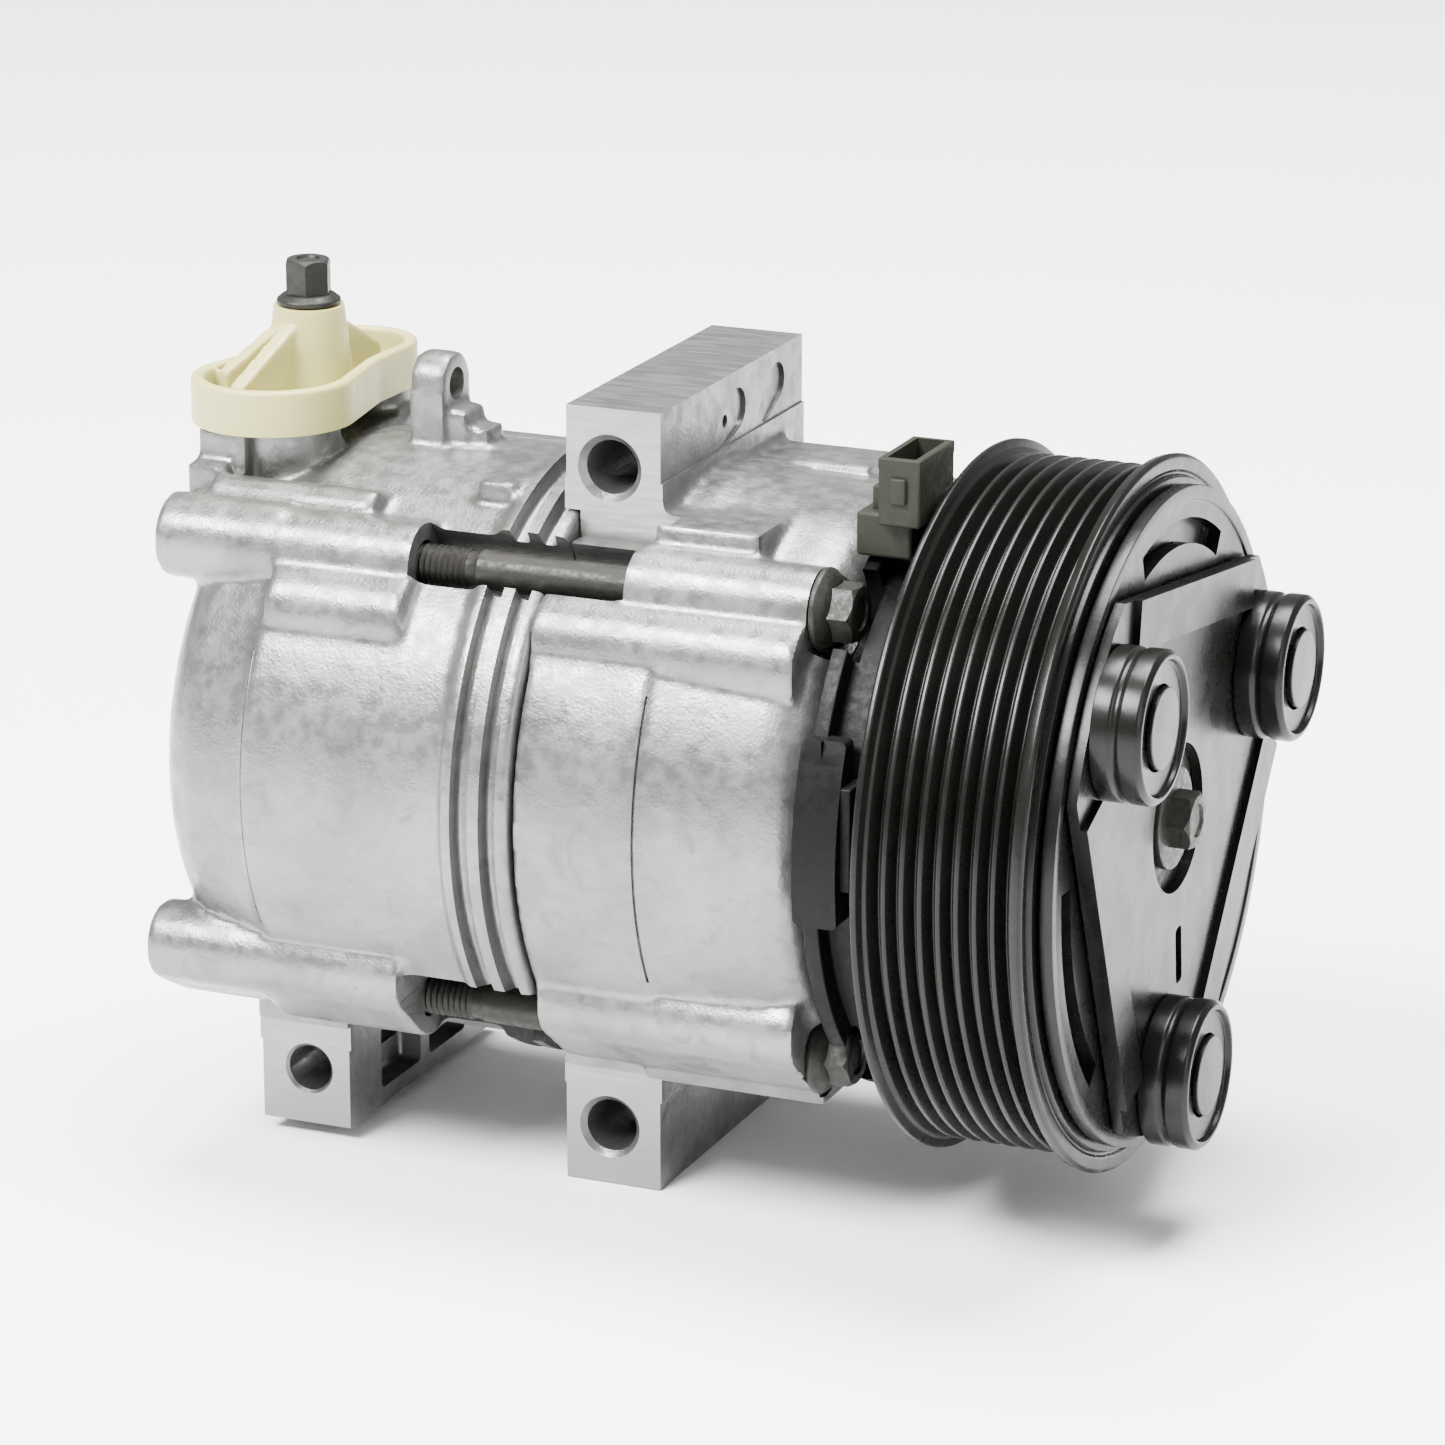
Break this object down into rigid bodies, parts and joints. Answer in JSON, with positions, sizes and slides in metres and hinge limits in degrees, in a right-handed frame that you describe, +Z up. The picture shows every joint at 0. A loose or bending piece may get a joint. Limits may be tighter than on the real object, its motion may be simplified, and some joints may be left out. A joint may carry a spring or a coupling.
{
  "type": "automotive air conditioning compressor",
  "caption": "Belt-driven swash-plate air conditioning compressor: split cast housing, mounting lugs, grooved pulley, magnetic clutch with rubber dampers and a port cap.",
  "frame": {"origin": "middle of the flat rear end face, on the shaft axis", "axes": "+X along the shaft from the rear end to the clutch, +Z up as it is bolted to the engine, +Y towards the engine"},
  "size_m": [0.2118, 0.138, 0.1725],
  "materials": {
    "cast_aluminium": "sand-cast skin, satin",
    "machined_aluminium": "machined, fine tool marks",
    "black_steel": "black phosphate",
    "gloss_black": "gloss black enamel",
    "coil_black": "black moulding on black steel",
    "olive_grey": "olive grey moulded plastic",
    "nylon": "natural cream nylon",
    "steel": "ground bright steel",
    "rubber": "black moulded rubber",
    "seal": "black sealing rubber"
  },
  "bodies": {
    "housing": {"rear_housing": "cast_aluminium", "front_housing": "cast_aluminium", "housing_o_ring": "seal", "through_bolt_upper_near": "black_steel", "through_bolt_upper_far": "black_steel", "through_bolt_lower_near": "black_steel", "through_bolt_lower_far": "black_steel", "rear_cylinder_block": "machined_aluminium", "front_cylinder_block": "machined_aluminium", "rear_valve_plate": "steel", "front_valve_plate": "steel", "rear_head_gasket": "seal", "front_head_gasket": "seal", "rear_thrust_bearing": "steel", "rear_needle_bearing": "steel", "front_thrust_bearing": "steel", "front_needle_bearing": "steel", "shaft_seal": "seal", "seal_snap_ring": "steel", "clutch_coil": "coil_black", "coil_connector": "olive_grey", "coil_snap_ring": "steel", "bearing_inner_race": "steel", "bearing_snap_ring": "steel", "shipping_cap": "nylon", "cap_bolt": "black_steel"},
    "pulley_rotor": {"pulley": "gloss_black", "bearing_outer_race": "steel"},
    "bearing_cage": {"bearing_ball_cage": "steel"},
    "shaft_and_hub": {"drive_shaft": "steel", "swash_plate": "steel", "hub_boss": "black_steel", "hub_plate": "gloss_black", "hub_bolt": "black_steel", "damper_cup_1": "gloss_black", "damper_cup_2": "gloss_black", "damper_cup_3": "gloss_black", "damper_rubber_1": "rubber", "damper_rubber_2": "rubber", "damper_rubber_3": "rubber"},
    "armature": {"armature_plate": "gloss_black", "damper_rivet_1": "gloss_black", "damper_rivet_2": "gloss_black", "damper_rivet_3": "gloss_black"},
    "piston_body_1": {"piston_1": "machined_aluminium"},
    "piston_body_2": {"piston_2": "machined_aluminium"},
    "piston_body_3": {"piston_3": "machined_aluminium"},
    "piston_body_4": {"piston_4": "machined_aluminium"},
    "piston_body_5": {"piston_5": "machined_aluminium"}
  },
  "joints": [
    {"name": "pulley_spin", "type": "hinge", "parent": "housing", "child": "pulley_rotor", "pos_m": [0.175, 0, 0], "axis": [1, 0, 0], "continuous": true},
    {"name": "bearing_cage_spin", "type": "hinge", "parent": "housing", "child": "bearing_cage", "pos_m": [0.172, 0, 0], "axis": [1, 0, 0], "continuous": true},
    {"name": "shaft_spin", "type": "hinge", "parent": "housing", "child": "shaft_and_hub", "pos_m": [0.1, 0, 0], "axis": [1, 0, 0], "continuous": true},
    {"name": "armature_engage", "type": "slide", "parent": "shaft_and_hub", "child": "armature", "axis": [-1, 0, 0], "range_m": [0, 0.00045], "stiffness_N_per_m": 20000},
    {"name": "piston_1_stroke", "type": "slide", "parent": "housing", "child": "piston_body_1", "axis": [1, 0, 0], "range_m": [-0.01624, 0]},
    {"name": "piston_2_stroke", "type": "slide", "parent": "housing", "child": "piston_body_2", "axis": [1, 0, 0], "range_m": [-0.01063, 0.00561]},
    {"name": "piston_3_stroke", "type": "slide", "parent": "housing", "child": "piston_body_3", "axis": [1, 0, 0], "range_m": [-0.00155, 0.01469]},
    {"name": "piston_4_stroke", "type": "slide", "parent": "housing", "child": "piston_body_4", "axis": [1, 0, 0], "range_m": [-0.00155, 0.01469]},
    {"name": "piston_5_stroke", "type": "slide", "parent": "housing", "child": "piston_body_5", "axis": [1, 0, 0], "range_m": [-0.01063, 0.00561]}
  ],
  "couplings": [
    {"joint": "bearing_cage_spin", "follows": "pulley_spin", "ratio": 0.54}
  ]
}
